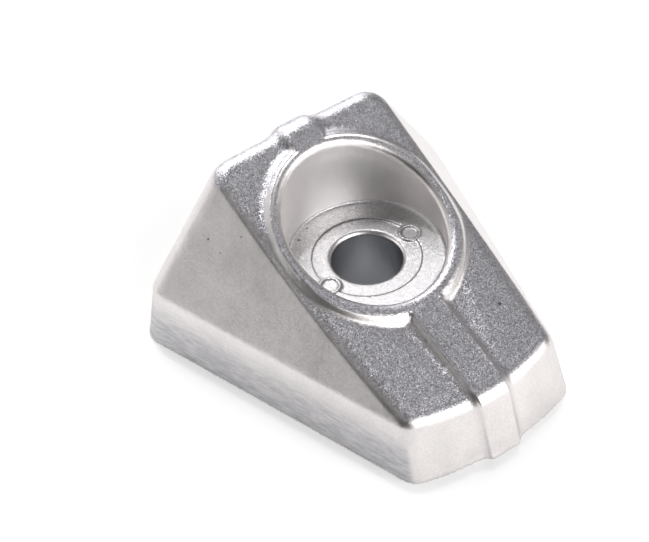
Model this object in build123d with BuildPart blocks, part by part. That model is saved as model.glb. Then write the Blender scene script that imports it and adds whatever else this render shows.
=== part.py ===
from build123d import *
import os
from math import cos, hypot, radians, sin, sqrt, tan

# Sacrificial anode: one cast block, wedge shaped in side view and flared in plan, held by one bolt
# at the bottom of a deep round pocket. Millimetres. The origin is on the bolt axis in the plane of
# the base. Z is up, the low narrow end points to -Y and the tall wide end to +Y.

# Bolt hole and seat
bolt_hole_diameter = 10.4      # clears a 10 mm or 3/8 in bolt
hole_edge_chamfer = 0.45
seat_width = 2.9               # flat ring round the hole, under the bolt's head
seat_depth = 0.15              # the seat lies this much below the pocket floor

# Two ejector pin marks on the edge of the seat, each a low disc with a shallow dish
pin_mark_inset = 0.15          # centre of the mark inside the seat's edge
pin_mark_diameter = 3.4
pin_mark_height = 0.12         # above the pocket floor
pin_dish_diameter = 2.7
pin_dish_depth = 0.2

# Pocket and the collar round it
floor_margin = 3.55            # seat's edge to the pocket wall
pocket_front_depth = 2.51      # from the land to the pocket floor, at the front of the pocket
pocket_draft = 1.0
pocket_mouth_radius = 1.2
collar_wall = 1.95             # pocket wall to the outside of the collar
collar_draft = 6.5

# Rib, and the land that it shares with the collar
land_rise = 0.8                # above the inclined top and out from the end walls
land_foot_radius = 2.0
rib_width = 4.5
front_nose_radius = 2.6
back_nose_radius = 3.2

# Block, laid out round the collar
front_margin = 18.0            # collar to the front wall, along the base
back_margin = 7.6              # collar to the back wall, along the base
side_margin = 0.67             # collar to the side edge of the top, abreast of the bolt
front_arc_radius = 45.0        # plan radius of the front wall
back_arc_radius = 600.0        # plan radius of the back wall, which looks almost flat
side_flare = 16.1              # plan angle of each side wall, degrees

# Walls: a steep band round the foot, and above its knee line the leaning upper walls
band_height = 8.65
band_draft = 9.8               # lean of the band's sides, degrees from upright
flank_lean = 31.0              # lean of the sides above the knee
front_draft = 17.5
back_band_draft = 1.0
back_draft = 7.2
corner_radius = 3.3            # upright corners and the knee line

# Inclined top, slightly hollow from front to back
nose_rise = 0.544              # front edge of the top above the knee line
top_slope = 22.7               # degrees, from the back edge down to the front edge
top_radius = 480.0             # of the hollow, in side view
top_edge_radius = 2.5

# Raised shapes are made this much too large, then cut back to the land, and cutting shapes run
# this much past the block
spare = 4.0

# Plan sizes, from the bolt outwards
seat_diameter = bolt_hole_diameter + 2 * seat_width
pin_mark_spacing = seat_diameter - 2 * pin_mark_inset
pocket_floor_diameter = seat_diameter + 2 * floor_margin
collar_diameter = pocket_floor_diameter + 2 * collar_wall
front_reach = collar_diameter / 2 + front_margin
back_reach = collar_diameter / 2 + back_margin

# Slopes, as growth per unit of height or length
flare = tan(radians(side_flare))
front_lean = tan(radians(front_draft))
band_lean = tan(radians(back_band_draft))
back_lean = tan(radians(back_draft))
top_gradient = tan(radians(top_slope))

# Front and back edge of the top in side view, and the centre of its hollow curve
back_root = back_reach + band_height * (back_lean - band_lean)
nose_height = band_height + nose_rise
nose_reach = front_reach - nose_height * front_lean
tail_rise = (back_root - nose_height * back_lean + nose_reach) * top_gradient
tail_height = nose_height + tail_rise / (1 + back_lean * top_gradient)
tail_reach = back_root - tail_height * back_lean
top_length = hypot(tail_reach + nose_reach, tail_height - nose_height)
curve_distance = sqrt(top_radius**2 - (top_length / 2) ** 2)
curve_y = (tail_reach - nose_reach) / 2 - curve_distance * sin(radians(top_slope))
curve_z = (tail_height + nose_height) / 2 + curve_distance * cos(radians(top_slope))


def top_level(y, rise):
    """Height of the hollow top at the given place along the block, raised square to its surface."""
    return curve_z - sqrt((top_radius - rise) ** 2 - (y - curve_y) ** 2)


# Heights over the bolt
top_height = top_level(0, 0)
pocket_floor_height = top_level(-pocket_floor_diameter / 2, land_rise) - pocket_front_depth
seat_height = pocket_floor_height - seat_depth
pin_mark_top = pocket_floor_height + pin_mark_height
full_height = tail_height + land_rise + spare

# Half widths abreast of the bolt
top_half_width = collar_diameter / 2 + side_margin
knee_half_width = top_half_width + (top_height - band_height) * tan(radians(flank_lean))
base_half_width = knee_half_width + band_height * tan(radians(band_draft))
full_width = 2 * (base_half_width + back_reach * flare)

knee_plane = Plane.XY.offset(band_height)


def side_wall(side, half_width, height, lean):
    """Plane of one side wall, through its half width at the given height."""
    outward = (side, -flare, tan(radians(lean)))
    return Plane(origin=(side * half_width, 0, height), z_dir=outward)


def on_base(shape):
    return abs(shape.center().Z) < 0.01


def on_top(shape):
    point = shape.center()
    return abs(point.Z - top_level(point.Y, 0)) < 0.01


def side_view(rise):
    """Side view of the block, grown by the rise, from below the base to the hollow top."""
    front = front_reach + rise / cos(radians(front_draft))
    band_back = back_reach + rise / cos(radians(back_band_draft))
    upper_back = back_root + rise / cos(radians(back_draft))
    knee = (upper_back - band_back) / (back_lean - band_lean)
    Polygon(
        (-front - spare * front_lean, -spare),
        (band_back + spare * band_lean, -spare),
        (band_back - knee * band_lean, knee),
        (upper_back - full_height * back_lean, full_height),
        (-front + full_height * front_lean, full_height),
        align=None,
    )
    with Locations((curve_y, curve_z)):
        Circle(top_radius - rise, mode=Mode.SUBTRACT)


# Plain block, with every wall edge and the rim of its top rounded
with BuildPart() as block:
    with BuildSketch():
        with Locations((0, back_reach - back_arc_radius)):
            Circle(back_arc_radius)
    extrude(amount=band_height, taper=back_band_draft)
    with BuildSketch(knee_plane):
        with Locations((0, back_reach - back_arc_radius)):
            Circle(back_arc_radius - band_height * band_lean)
    extrude(amount=full_height - band_height, taper=back_draft)
    with BuildSketch():
        with Locations((0, front_arc_radius - front_reach)):
            Circle(front_arc_radius)
    extrude(amount=full_height, taper=front_draft, mode=Mode.INTERSECT)
    with BuildSketch(Plane.YZ):
        side_view(0)
    extrude(amount=full_width, both=True, mode=Mode.INTERSECT)
    for side in (-1, 1):
        split(bisect_by=side_wall(side, base_half_width, 0, band_draft), keep=Keep.BOTTOM)
        split(bisect_by=side_wall(side, knee_half_width, band_height, flank_lean), keep=Keep.BOTTOM)
    fillet(block.edges().filter_by(lambda e: not on_base(e) and not on_top(e)), radius=corner_radius)
    fillet(block.faces().filter_by(on_top).edges(), radius=top_edge_radius)

# The rib runs up the front wall, over the top and down the back wall. The collar rings the pocket
with BuildPart() as raised:
    with BuildSketch(Plane.YZ):
        side_view(spare)
    extrude(amount=rib_width / 2, both=True)
    with BuildSketch(Plane.XY.offset(top_height)):
        Circle(collar_diameter / 2)
    extrude(amount=full_height - top_height, taper=collar_draft)
    with BuildSketch(Plane.XY.offset(top_height)):
        Circle(collar_diameter / 2)
    extrude(amount=-(collar_diameter / 2 * top_gradient + spare / 2), taper=-collar_draft)

with BuildPart() as anode:
    add(block.part)
    add(raised.part)
    fillet(anode.edges(Select.NEW), radius=land_foot_radius)
    # Cut back to the land, whose side view has a rounded nose at each end
    with BuildSketch(Plane.YZ) as land:
        side_view(land_rise)
        fillet(land.vertices().sort_by(Axis.Y)[-3], radius=corner_radius)
        fillet(land.vertices().sort_by(Axis.Y)[-2], radius=front_nose_radius)
        fillet(land.vertices().sort_by(Axis.Y)[-1], radius=back_nose_radius)
    extrude(amount=full_width, both=True, mode=Mode.INTERSECT)
    split(bisect_by=Plane.XY, keep=Keep.TOP)

    # Pocket with its rounded mouth
    with BuildSketch(Plane.XY.offset(pocket_floor_height)):
        Circle(pocket_floor_diameter / 2)
    extrude(amount=full_height, taper=-pocket_draft, mode=Mode.SUBTRACT)
    fillet(anode.edges(Select.NEW), radius=pocket_mouth_radius)

    # Bolt seat and bolt hole
    with BuildSketch(Plane.XY.offset(seat_height)):
        Circle(seat_diameter / 2)
    extrude(amount=seat_depth, mode=Mode.SUBTRACT)
    with BuildSketch():
        Circle(bolt_hole_diameter / 2)
    extrude(amount=seat_height, mode=Mode.SUBTRACT)
    hole_edges = anode.edges().filter_by(GeomType.CIRCLE).filter_by(
        lambda e: abs(e.radius - bolt_hole_diameter / 2) < 0.01
    )
    chamfer(hole_edges.sort_by(Axis.Z)[-1], length=hole_edge_chamfer)

    # Pin marks
    with BuildSketch(Plane.XY.offset(seat_height)):
        with GridLocations(pin_mark_spacing, 0, 2, 1):
            Circle(pin_mark_diameter / 2)
    extrude(amount=pin_mark_top - seat_height)
    with BuildSketch(Plane.XY.offset(pin_mark_top)):
        with GridLocations(pin_mark_spacing, 0, 2, 1):
            Circle(pin_dish_diameter / 2)
    extrude(amount=-pin_dish_depth, taper=45, mode=Mode.SUBTRACT)

os.makedirs("parts", exist_ok=True)
anode.part.label = "anode_block"
export_step(anode.part, "parts/anode_block.step")
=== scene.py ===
import math

import bpy
import numpy as np
from mathutils import Matrix, Vector, noise


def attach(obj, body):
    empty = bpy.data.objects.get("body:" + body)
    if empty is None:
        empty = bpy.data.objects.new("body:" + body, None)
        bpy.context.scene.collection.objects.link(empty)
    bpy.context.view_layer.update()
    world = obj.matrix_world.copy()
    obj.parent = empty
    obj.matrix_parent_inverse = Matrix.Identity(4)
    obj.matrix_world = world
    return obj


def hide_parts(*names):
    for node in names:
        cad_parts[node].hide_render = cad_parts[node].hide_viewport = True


MM = 0.001
PHOTO_WIDTH, PHOTO_HEIGHT = 649, 542      # pixels

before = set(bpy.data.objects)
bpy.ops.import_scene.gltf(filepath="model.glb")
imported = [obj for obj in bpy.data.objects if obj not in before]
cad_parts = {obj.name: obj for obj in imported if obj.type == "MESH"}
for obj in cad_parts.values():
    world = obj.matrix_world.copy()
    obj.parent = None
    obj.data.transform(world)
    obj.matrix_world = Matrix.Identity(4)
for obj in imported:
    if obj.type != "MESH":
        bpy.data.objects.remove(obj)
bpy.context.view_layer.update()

# Sizes of the casting that the looks follow, in millimetres, as in the part's source
TOP_RADIUS = 480.0
TOP_CENTRE = (-190.079, 461.253)          # of the top's hollow curve in side view, along Y and Z
TOP_NORMAL = np.array((0.0, -0.386, 0.922))
TOP_HALF_WIDTH = 14.3                     # abreast of the bolt
SIDE_FLARE = 0.29                         # growth of the half width per length along Y
FLOOR_HEIGHT = 14.0
POCKET_RADIUS = 11.65
POCKET_LEAN = 0.0175
MOUTH_WIDTH = 1.2                         # of the rounding at the pocket's mouth
SEAT_RADIUS = 8.1
SEAT_DEPTH = 0.15
MARK_HEIGHT = 0.12                        # of a pin mark's rim, above the pocket floor
MARK_DISH_DEPTH = 0.2
HOLE_RADIUS = 5.2
COLLAR_RADIUS = 13.6                      # at the height below, and the lean of the collar's side
COLLAR_HEIGHT = 20.49
COLLAR_LEAN = 0.114
RIB_HALF_WIDTH = 2.25
LAND_RISE = 0.8
LAND_FOOT_RADIUS = 2.0

# Forms that the photo shows beyond the part's source. The top beside the collar has sunk, the land
# has sunk less, and the land's edge is rounder
TOP_SINK = 0.85
LAND_SINK = 0.45
WORN_FOOT_RADIUS = 1.25
WORN_EDGE_RADIUS = 0.8
PIN_MARKS = ((7.95, 0.0), (-7.81, -1.48))
# Pits are drawn only as small dark spots of painted shade in the material
PITS = (                                  # place and radius
    ((9.85, -18.55, 12.75), 0.36),
    ((-18.84, 13.0, 19.11), 0.20),
    ((-18.62, 10.36, 18.17), 0.13),
    ((-16.1, 8.27, 21.42), 0.16),
    ((-21.52, 15.76, 16.01), 0.12),
    ((-16.4, -5.9, 13.9), 0.12),
    ((-3.4, 10.3, 14.0), 0.20),
    ((-5.8, 9.0, 14.0), 0.26),
)

# Mesh of the visible skin
VOXEL_SIZE = 0.2
SHARE_KEPT = 0.36                         # of the faces, once the mesh is thinned
SKIN_DEPTH = 0.045                        # the uneven skin lies this far inside the CAD's surface

# Cards and floor round the object, in metres
CARD_DISTANCE = 0.9
CARD_HEIGHT = 1.5
TOP_CARD_HEIGHT = 1.0
FLOOR_REACH = 3.0


def make_camera():
    """The photo's camera, solved from the casting's planes and circles."""
    azimuth, elevation, roll = (math.radians(a) for a in (-34.006, 44.97, -3.321))
    distance = 300 * MM
    focal = 2048.711                      # pixels
    aim = Vector((0, 0, 13.974)) * MM
    aim_u = (366.891 - PHOTO_WIDTH / 2) / focal
    aim_v = (256.264 - PHOTO_HEIGHT / 2) / focal
    back = Vector((
        math.sin(azimuth) * math.cos(elevation),
        -math.cos(azimuth) * math.cos(elevation),
        math.sin(elevation),
    ))
    level = Vector((math.cos(azimuth), math.sin(azimuth), 0))
    rise = back.cross(level)
    right = math.cos(roll) * level + math.sin(roll) * rise
    up = -math.sin(roll) * level + math.cos(roll) * rise
    place = aim + distance * (back - aim_u * right + aim_v * up)
    data = bpy.data.cameras.new("camera")
    data.sensor_width = 36
    data.lens = focal * data.sensor_width / PHOTO_WIDTH
    data.clip_start = 0.01
    data.clip_end = 20
    camera = bpy.data.objects.new("camera", data)
    turn = Matrix((right, up, back)).transposed().to_4x4()
    camera.matrix_world = Matrix.Translation(place) @ turn
    bpy.context.collection.objects.link(camera)
    bpy.context.scene.camera = camera


def smoothstep(low, high, value):
    t = np.clip((value - low) / (high - low), 0, 1)
    return t * t * (3 - 2 * t)


def step_profile(inside, rise, foot, edge, start):
    """Height of a step with a hollow foot and a round edge, over the distance from its start."""
    angle = np.arccos(1 - rise / (foot + edge))
    width = (foot + edge) * np.sin(angle)
    s = np.clip(inside - start, 0, width)
    hollow = foot - np.sqrt(np.maximum(foot**2 - s**2, 0))
    crown = rise - edge + np.sqrt(np.maximum(edge**2 - (width - s) ** 2, 0))
    return np.where(s < foot * np.sin(angle), hollow, crown)


def top_sag(y):
    """Share of the full sink along the block, which fades out towards both ends."""
    return np.clip(1 - ((y + 3.5) / np.where(y < -3.5, 25, 22)) ** 2, 0, 1)


def above_top(place):
    """Height over the inclined top's hollow surface."""
    across = place[:, 1] - TOP_CENTRE[0]
    return place[:, 2] - TOP_CENTRE[1] + np.sqrt(TOP_RADIUS**2 - across**2)


def shape_land(place):
    """Sink the top and the land, and round the step between them."""
    x, y, z = place.T
    radius = np.hypot(x, y)
    height = above_top(place)
    inside = np.maximum(
        COLLAR_RADIUS - COLLAR_LEAN * (z - COLLAR_HEIGHT) - radius,
        RIB_HALF_WIDTH - np.abs(x),
    )
    to_side = TOP_HALF_WIDTH + SIDE_FLARE * y - np.abs(x)
    top_sink = TOP_SINK * top_sag(y) * smoothstep(-1.0, 5.5, to_side)
    land_sink = LAND_SINK * top_sag(y)
    rise = LAND_RISE + np.maximum(top_sink - land_sink, 0)
    worn_angle = np.arccos(1 - rise / (WORN_FOOT_RADIUS + WORN_EDGE_RADIUS))
    worn_width = (WORN_FOOT_RADIUS + WORN_EDGE_RADIUS) * np.sin(worn_angle)
    worn = step_profile(inside, rise, WORN_FOOT_RADIUS, WORN_EDGE_RADIUS, 0.2 - worn_width)
    sharp = step_profile(inside, np.full_like(rise, LAND_RISE), LAND_FOOT_RADIUS, 0.0, -1.6)
    sink = land_sink + np.maximum(top_sink - land_sink, 0)
    shift = worn - sharp - sink
    in_pocket = radius < POCKET_RADIUS + MOUTH_WIDTH + 0.1
    reach = np.where(in_pocket, smoothstep(-4.0, 0.0, height), smoothstep(-1.4, -0.2, height))
    reach = reach * (radius > SEAT_RADIUS)
    reach = reach * smoothstep(-28.0, -25.0, y) * smoothstep(21.5, 18.5, y)
    return place + (shift * reach)[:, None] * TOP_NORMAL


def shape_pocket(place, normal):
    """True up the round walls and the floor, whose steps are finer than the skin's mesh."""
    x, y, z = place.T
    radius = np.hypot(x, y)
    pocket = POCKET_RADIUS + POCKET_LEAN * (z - FLOOR_HEIGHT)
    on_pocket = smoothstep(0.3, 0.15, np.abs(radius - pocket))
    on_pocket *= smoothstep(-1.2, -3.0, above_top(place))
    on_pocket *= smoothstep(0.2, 0.8, z - FLOOR_HEIGHT)
    on_hole = smoothstep(0.3, 0.15, np.abs(radius - HOLE_RADIUS)) * smoothstep(13.4, 12.8, z)
    on_hole *= smoothstep(0.2, 0.8, z)
    true_radius = radius + on_pocket * (pocket - radius) + on_hole * (HOLE_RADIUS - radius)
    on_seat = smoothstep(SEAT_RADIUS + 0.08, SEAT_RADIUS - 0.08, radius)
    level = FLOOR_HEIGHT - SEAT_DEPTH * on_seat
    for mark_x, mark_y in PIN_MARKS:
        apart = np.hypot(x - mark_x, y - mark_y)
        disc = FLOOR_HEIGHT + MARK_HEIGHT - MARK_DISH_DEPTH * smoothstep(1.38, 1.12, apart)
        on_disc = smoothstep(1.78, 1.62, apart)
        level = level + (disc - level) * on_disc
    on_floor = (np.abs(z - FLOOR_HEIGHT) < 0.35) & (normal[:, 2] > 0.7)
    on_floor &= (radius > HOLE_RADIUS + 0.6) & (radius < POCKET_RADIUS - 0.35)
    scale = true_radius / np.maximum(radius, 1e-6)
    return np.stack((x * scale, y * scale, np.where(on_floor, level, z)), axis=1)


def vertex_array(mesh, name):
    """One vector of each vertex, such as its place or its normal."""
    values = np.empty(len(mesh.vertices) * 3)
    mesh.vertices.foreach_get(name, values)
    return values.reshape(-1, 3)


def applied(body):
    """Apply the modifiers of an object that rides on nothing yet."""
    graph = bpy.context.evaluated_depsgraph_get()
    mesh = bpy.data.meshes.new_from_object(body.evaluated_get(graph))
    body.modifiers.clear()
    body.data = mesh
    return mesh


def cast_body():
    """The casting with its edges softened as a die leaves them, and a slightly uneven skin."""
    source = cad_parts["anode_block"]
    body = bpy.data.objects.new("cast_body", source.data.copy())
    bpy.context.collection.objects.link(body)
    skin = body.modifiers.new("skin", "REMESH")
    skin.mode = "VOXEL"
    skin.voxel_size = VOXEL_SIZE * MM
    soften = body.modifiers.new("soften", "SMOOTH")
    soften.factor = 0.5
    soften.iterations = 5
    mesh = applied(body)
    normal = vertex_array(mesh, "normal")
    place = vertex_array(mesh, "co") / MM
    place = shape_pocket(shape_land(place), normal)
    # A die-cast skin is never quite flat
    swell = np.array([noise.noise(Vector(p) * 0.16) for p in place])
    ripple = np.array([noise.noise(Vector(p) * 0.7) for p in place])
    above_base = smoothstep(0.2, 1.0, place[:, 2])
    uneven = 0.045 * swell + 0.012 * ripple - SKIN_DEPTH
    place += normal * (above_base * uneven)[:, None]
    mesh.vertices.foreach_set("co", (place * MM).ravel())
    mesh.update()
    # The top's back edge and the foot of the rib there run out much softer than the rest
    run_out = body.vertex_groups.new(name="run_out")
    weight = smoothstep(14.0, 16.5, place[:, 1]) * smoothstep(18.0, 21.0, place[:, 2])
    for tenth in range(1, 11):
        members = np.nonzero(np.round(weight * 10) == tenth)[0]
        run_out.add(members.tolist(), tenth / 10, "REPLACE")
    for _ in range(4):
        ease = body.modifiers.new("ease", "SMOOTH")
        ease.vertex_group = "run_out"
        ease.factor = 0.5
        ease.iterations = 30
    thin = body.modifiers.new("thin", "DECIMATE")
    thin.ratio = SHARE_KEPT
    mesh = applied(body)

    # How textured the skin is: the die's top is spark eroded, its sides are drawn smooth
    normal = vertex_array(mesh, "normal")
    place = vertex_array(mesh, "co") / MM
    x, y, z = place.T
    radius = np.hypot(x, y)
    over_back = 0.4 * smoothstep(13.0, 17.0, y) * (z > 18.0)
    upward = smoothstep(0.76, 0.90, normal[:, 2] + over_back)
    top_grain_and_shade = upward * smoothstep(-2.4, -1.2, above_top(place))
    floor = smoothstep(0.5, 0.2, np.abs(z - FLOOR_HEIGHT)) * (radius < POCKET_RADIUS + 0.5)
    outside = radius > POCKET_RADIUS + MOUTH_WIDTH
    wall = smoothstep(0.5, 0.2, normal[:, 2]) * ~outside * (z > FLOOR_HEIGHT)
    # The same masks also place the material's painted shade on the top, the pocket floor and the
    # lower sides, and painted light on the pocket wall
    mask = np.ones((len(place), 4))
    mask[:, 0] = top_grain_and_shade
    mask[:, 1] = floor
    mask[:, 2] = wall
    mask[:, 3] = smoothstep(0.6, 0.85, np.abs(normal[:, 0])) * outside
    colours = mesh.color_attributes.new("skin", "FLOAT_COLOR", "POINT")
    colours.data.foreach_set("color", mask.ravel())
    mesh.shade_smooth()
    mesh.update()
    mesh.materials.clear()
    mesh.materials.append(cast_metal())
    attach(body, "root")
    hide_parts("anode_block")


class Nodes:
    """Shorthand for adding and joining shader nodes."""

    def __init__(self, tree):
        self.tree = tree
        tree.nodes.clear()

    def add(self, kind, inputs=None, **settings):
        node = self.tree.nodes.new(kind)
        for name, value in settings.items():
            setattr(node, name, value)
        for name, value in (inputs or {}).items():
            socket = node.inputs[name]
            if isinstance(value, bpy.types.NodeSocket):
                self.tree.links.new(value, socket)
            else:
                socket.default_value = value
        return node

    def math(self, operation, a, b=0.0):
        return self.add("ShaderNodeMath", {0: a, 1: b}, operation=operation).outputs[0]

    def ramp(self, value, low, high, low_out=0.0, high_out=1.0):
        """The value from low to high, mapped smoothly to the outputs given."""
        node = self.add("ShaderNodeMapRange", {
            "Value": value, "From Min": low, "From Max": high,
            "To Min": low_out, "To Max": high_out,
        })
        node.interpolation_type = "SMOOTHSTEP"
        return node.outputs["Result"]

    def mix(self, factor, a, b):
        node = self.add("ShaderNodeMix", data_type="RGBA")
        for index, value in ((0, factor), (6, a), (7, b)):
            if isinstance(value, bpy.types.NodeSocket):
                self.tree.links.new(value, node.inputs[index])
            else:
                node.inputs[index].default_value = value
        return node.outputs[2]


def cast_metal():
    """Die-cast aluminium: fine speckle on the top, satin walls, a few small pits, with painted
    shade on the top, pocket floor, bore, lower sides, pits and seat line, and painted light on the
    pocket wall.
    """
    material = bpy.data.materials.new("cast_metal")
    material.use_nodes = True
    n = Nodes(material.node_tree)
    coords = n.add("ShaderNodeTexCoord").outputs["Object"]
    place = n.add("ShaderNodeMapping", {"Vector": coords, "Scale": (1000, 1000, 1000)}).outputs[0]
    skin = n.add("ShaderNodeVertexColor", layer_name="skin").outputs
    mask = n.add("ShaderNodeSeparateColor", {"Color": skin["Color"]}).outputs
    grain_and_shade_mask, floor_mask, wall_mask = mask["Red"], mask["Green"], mask["Blue"]
    side_mask = skin["Alpha"]

    def noise_at(scale, detail=2.0, rough=0.5):
        return n.add("ShaderNodeTexNoise", {
            "Vector": place, "Scale": scale, "Detail": detail, "Roughness": rough,
        }).outputs[0]

    def grains_at(scale):
        return n.add("ShaderNodeTexVoronoi", {"Vector": place, "Scale": scale}).outputs["Color"]

    def vector(operation, a, b):
        second = "Scale" if operation == "SCALE" else 1
        return n.add("ShaderNodeVectorMath", {0: a, second: b}, operation=operation).outputs[0]

    def distance_to(point):
        node = n.add("ShaderNodeVectorMath", {0: place, 1: point}, operation="DISTANCE")
        return node.outputs["Value"]

    ripple = noise_at(2.2, 3.0, 0.6)
    cloud = noise_at(0.13, 3.0, 0.6)
    fine = noise_at(3.5, 2.0, 0.6)
    height = n.add("ShaderNodeSeparateXYZ", {0: place}).outputs["Z"]
    plan = vector("MULTIPLY", place, (1, 1, 0))
    radius = n.add("ShaderNodeVectorMath", {0: plan}, operation="LENGTH").outputs["Value"]
    flat = n.add("ShaderNodeMapping", {"Vector": place, "Scale": (0.35, 0.35, 2.6)}).outputs[0]
    brush = n.add("ShaderNodeTexNoise", {
        "Vector": flat, "Scale": 1.0, "Detail": 4.0, "Roughness": 0.7,
    }).outputs[0]
    grains = grains_at(6.2)
    dust = grains_at(11.0)
    shades = n.add("ShaderNodeSeparateColor", {"Color": grains}).outputs
    # Colour: cooler where the texture is, with grains that differ, and darker there as painted
    # shade
    grain_tone = shades["Red"]
    top_grain_and_shade_colour = n.mix(grain_tone, (0.33, 0.32, 0.34, 1), (0.79, 0.775, 0.82, 1))
    wall_tone = n.math("ADD", n.math("MULTIPLY", cloud, 0.5), n.math("MULTIPLY", fine, 0.5))
    wall_colour = n.mix(n.ramp(wall_tone, 0.3, 0.7), (0.66, 0.63, 0.62, 1), (0.80, 0.765, 0.755, 1))
    # Painted light: the pocket wall gets a brighter colour than the outer walls
    wall_colour = n.mix(wall_mask, wall_colour, (0.92, 0.89, 0.88, 1))
    # The sides of the foot band have a blue-grey bloom with faint level brush marks, and painted
    # shade that makes them darker towards the base
    bloom_and_shade = n.math("MULTIPLY", n.ramp(height, 9.0, 3.0), n.ramp(brush, 0.30, 0.70, 0.45, 1.0))
    bloom_and_shade = n.math("MULTIPLY", bloom_and_shade, side_mask)
    wall_colour = n.mix(bloom_and_shade, wall_colour, (0.36, 0.36, 0.38, 1))
    # Painted shade: the bolt hole's bore is darkened
    bore_shade = n.math("MULTIPLY", n.ramp(radius, 5.7, 5.4), n.ramp(height, 13.5, 13.2))
    wall_colour = n.mix(bore_shade, wall_colour, (0.48, 0.485, 0.51, 1))
    # The pocket floor: grains that differ, and a darker colour than the walls that is painted shade
    floor_grain_and_shade_colour = n.mix(grain_tone, (0.34, 0.335, 0.34, 1), (0.54, 0.53, 0.54, 1))
    colour = n.mix(floor_mask, n.mix(grain_and_shade_mask, wall_colour, top_grain_and_shade_colour), floor_grain_and_shade_colour)
    # Painted shade: small pits drawn as dark spots, and the fine dark line round the seat's step
    pitted = 0.0
    for centre, size in PITS:
        pitted = n.math("MAXIMUM", n.ramp(distance_to(centre), size * 1.1, size * 0.5), pitted)
    off_line = n.math("ABSOLUTE", n.math("SUBTRACT", radius, SEAT_RADIUS))
    line = n.math("MULTIPLY", n.ramp(off_line, 0.13, 0.04), floor_mask)
    for mark_x, mark_y in PIN_MARKS:
        off_mark = n.ramp(distance_to((mark_x, mark_y, FLOOR_HEIGHT)), 1.6, 1.8)
        line = n.math("MULTIPLY", line, off_mark)
    dark = n.math("MAXIMUM", pitted, n.math("MULTIPLY", line, 0.6))
    colour = n.mix(dark, colour, (0.10, 0.10, 0.10, 1))
    # Roughness
    textured = n.math("MAXIMUM", grain_and_shade_mask, floor_mask)
    rough_walls = n.ramp(cloud, 0.3, 0.7, 0.30, 0.35)
    rough_grain = n.ramp(shades["Green"], 0.0, 1.0, 0.30, 0.42)
    rough = n.add("ShaderNodeMix", {0: textured, 2: rough_walls, 3: rough_grain}).outputs[0]
    rough = n.add("ShaderNodeMix", {0: wall_mask, 2: rough, 3: 0.46}).outputs[0]
    # Relief: a faint ripple everywhere, and grains that each lean their own way
    bump = n.add("ShaderNodeBump", {
        "Height": ripple, "Strength": 0.06, "Distance": 0.14 * MM,
    }).outputs[0]
    top_depth = n.math("MULTIPLY", grain_and_shade_mask, 0.12)
    floor_depth = n.math("MULTIPLY", floor_mask, 0.07)
    depth = n.math("ADD", n.math("ADD", top_depth, floor_depth), 0.05)
    lean = vector("SCALE", vector("SUBTRACT", grains, (0.5, 0.5, 0.5)), depth)
    fine_lean = vector("SCALE", vector("SUBTRACT", dust, (0.5, 0.5, 0.5)), depth)
    normal = vector("NORMALIZE", vector("ADD", bump, vector("ADD", lean, fine_lean)), (0, 0, 0))
    shader = n.add("ShaderNodeBsdfPrincipled", {
        "Base Color": colour, "Metallic": 1.0, "Roughness": rough, "Normal": normal,
    })
    n.add("ShaderNodeOutputMaterial", {"Surface": shader.outputs[0]})
    return material


def stage_plane(name, corners, material):
    """A plane of the set round the object, which isn't part of it."""
    mesh = bpy.data.meshes.new(name)
    mesh.from_pydata([Vector(c) for c in corners], [], [(0, 1, 2, 3)])
    plane = bpy.data.objects.new(name, mesh)
    bpy.context.collection.objects.link(plane)
    mesh.materials.append(material)
    return plane


def stage_card(name, corners, glow):
    """A plain card beside the camera's view that the metal mirrors."""
    material = bpy.data.materials.new(name)
    material.use_nodes = True
    n = Nodes(material.node_tree)
    light = n.add("ShaderNodeEmission", {"Color": (glow, glow, glow, 1), "Strength": 1.0})
    n.add("ShaderNodeOutputMaterial", {"Surface": light.outputs[0]})
    card = stage_plane(name, corners, material)
    card.visible_camera = False


def upright(start, end, height):
    """Corners of an upright card that stands on the floor between two points."""
    return ((*start, 0.0), (*end, 0.0), (*end, height), (*start, height))


def floor_material():
    """Pale floor: the camera sees it white away from the object, with the object's shadow kept."""
    material = bpy.data.materials.new("pale_floor")
    material.use_nodes = True
    n = Nodes(material.node_tree)
    rays = n.add("ShaderNodeLightPath").outputs
    seen = n.math("MAXIMUM", rays["Is Camera Ray"], rays["Is Glossy Ray"])
    seen = n.math("MAXIMUM", seen, rays["Is Transmission Ray"])
    matt = n.add("ShaderNodeBsdfDiffuse", {"Color": (0.88, 0.88, 0.88, 1)})
    glow = n.add("ShaderNodeEmission", {"Strength": n.math("MULTIPLY", seen, 0.20)})
    both = n.add("ShaderNodeAddShader", {0: matt.outputs[0], 1: glow.outputs[0]})
    n.add("ShaderNodeOutputMaterial", {"Surface": both.outputs[0]})
    return material


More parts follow.
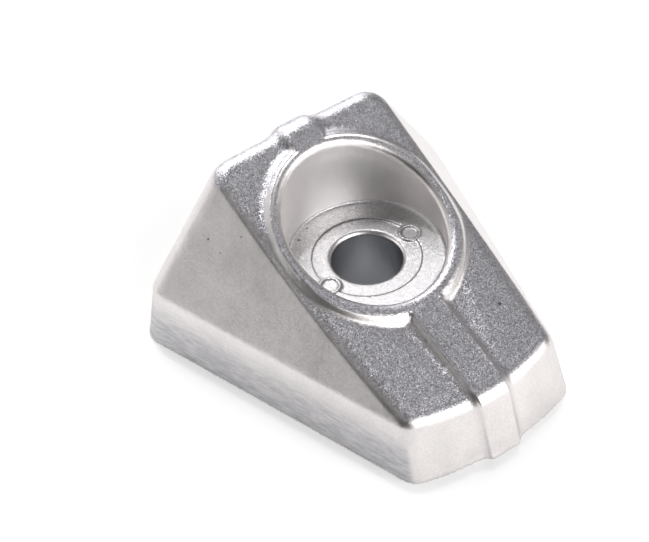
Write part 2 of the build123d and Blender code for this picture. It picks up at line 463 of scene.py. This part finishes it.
def make_lamp(name, place, target, width, height, power):
    """A soft rectangular lamp, in metres and watts, that faces the target."""
    data = bpy.data.lights.new(name, "AREA")
    data.shape = "RECTANGLE"
    data.size = width
    data.size_y = height
    data.energy = power
    lamp = bpy.data.objects.new(name, data)
    lamp.location = place
    lamp.rotation_mode = "QUATERNION"
    lamp.rotation_quaternion = (Vector(target) - Vector(place)).to_track_quat("-Z", "Y")
    bpy.context.collection.objects.link(lamp)


def make_world():
    """Plain white surroundings."""
    world = bpy.data.worlds.new("studio")
    bpy.context.scene.world = world
    world.use_nodes = True
    n = Nodes(world.node_tree)
    sky = n.add("ShaderNodeBackground", {"Color": (1, 1, 1, 1), "Strength": 1.0})
    n.add("ShaderNodeOutputWorld", {"Surface": sky.outputs[0]})


make_camera()
cast_body()
floor_corners = [
    (side_x * FLOOR_REACH, side_y * FLOOR_REACH, 0)
    for side_x, side_y in ((-1, -1), (1, -1), (1, 1), (-1, 1))
]
stage_plane("floor", floor_corners, floor_material())
# Cards that the metal mirrors, each with its side, its start and end along Y, and its glow: dark
# ones on the left and the right, and lighter ones further back on the left and to the right front
for name, side, start, end, glow in (
    ("left_card", -1, -1.5, 0.12, 0.05),
    ("left_back_card", -1, 0.12, 0.9, 0.56),
    ("right_card", 1, -0.42, 0.75, 0.28),
    ("right_front_card", 1, -0.9, -0.42, 0.75),
):
    x = side * CARD_DISTANCE
    stage_card(name, upright((x, start), (x, end), CARD_HEIGHT), glow)
top_corners = [
    (side * CARD_DISTANCE, y, TOP_CARD_HEIGHT)
    for side, y in ((-1, -0.75), (1, -0.75), (1, 0.27), (-1, 0.27))
]
stage_card("top_card", top_corners, 0.24)
centre = Vector((0, 0, 0.014))
key = Vector((0.2, 0.43, 1.0)).normalized()
make_lamp("key_lamp", centre + key * 0.9, centre, 0.07, 0.07, 1.4)
make_lamp("front_lamp", (0.25, -0.80, 0.46), centre, 1.0, 0.85, 5.5)
make_lamp("back_lamp", (0.15, 0.60, 0.60), centre, 0.8, 0.60, 2.3)
make_world()
bpy.context.scene.view_settings.view_transform = "Standard"
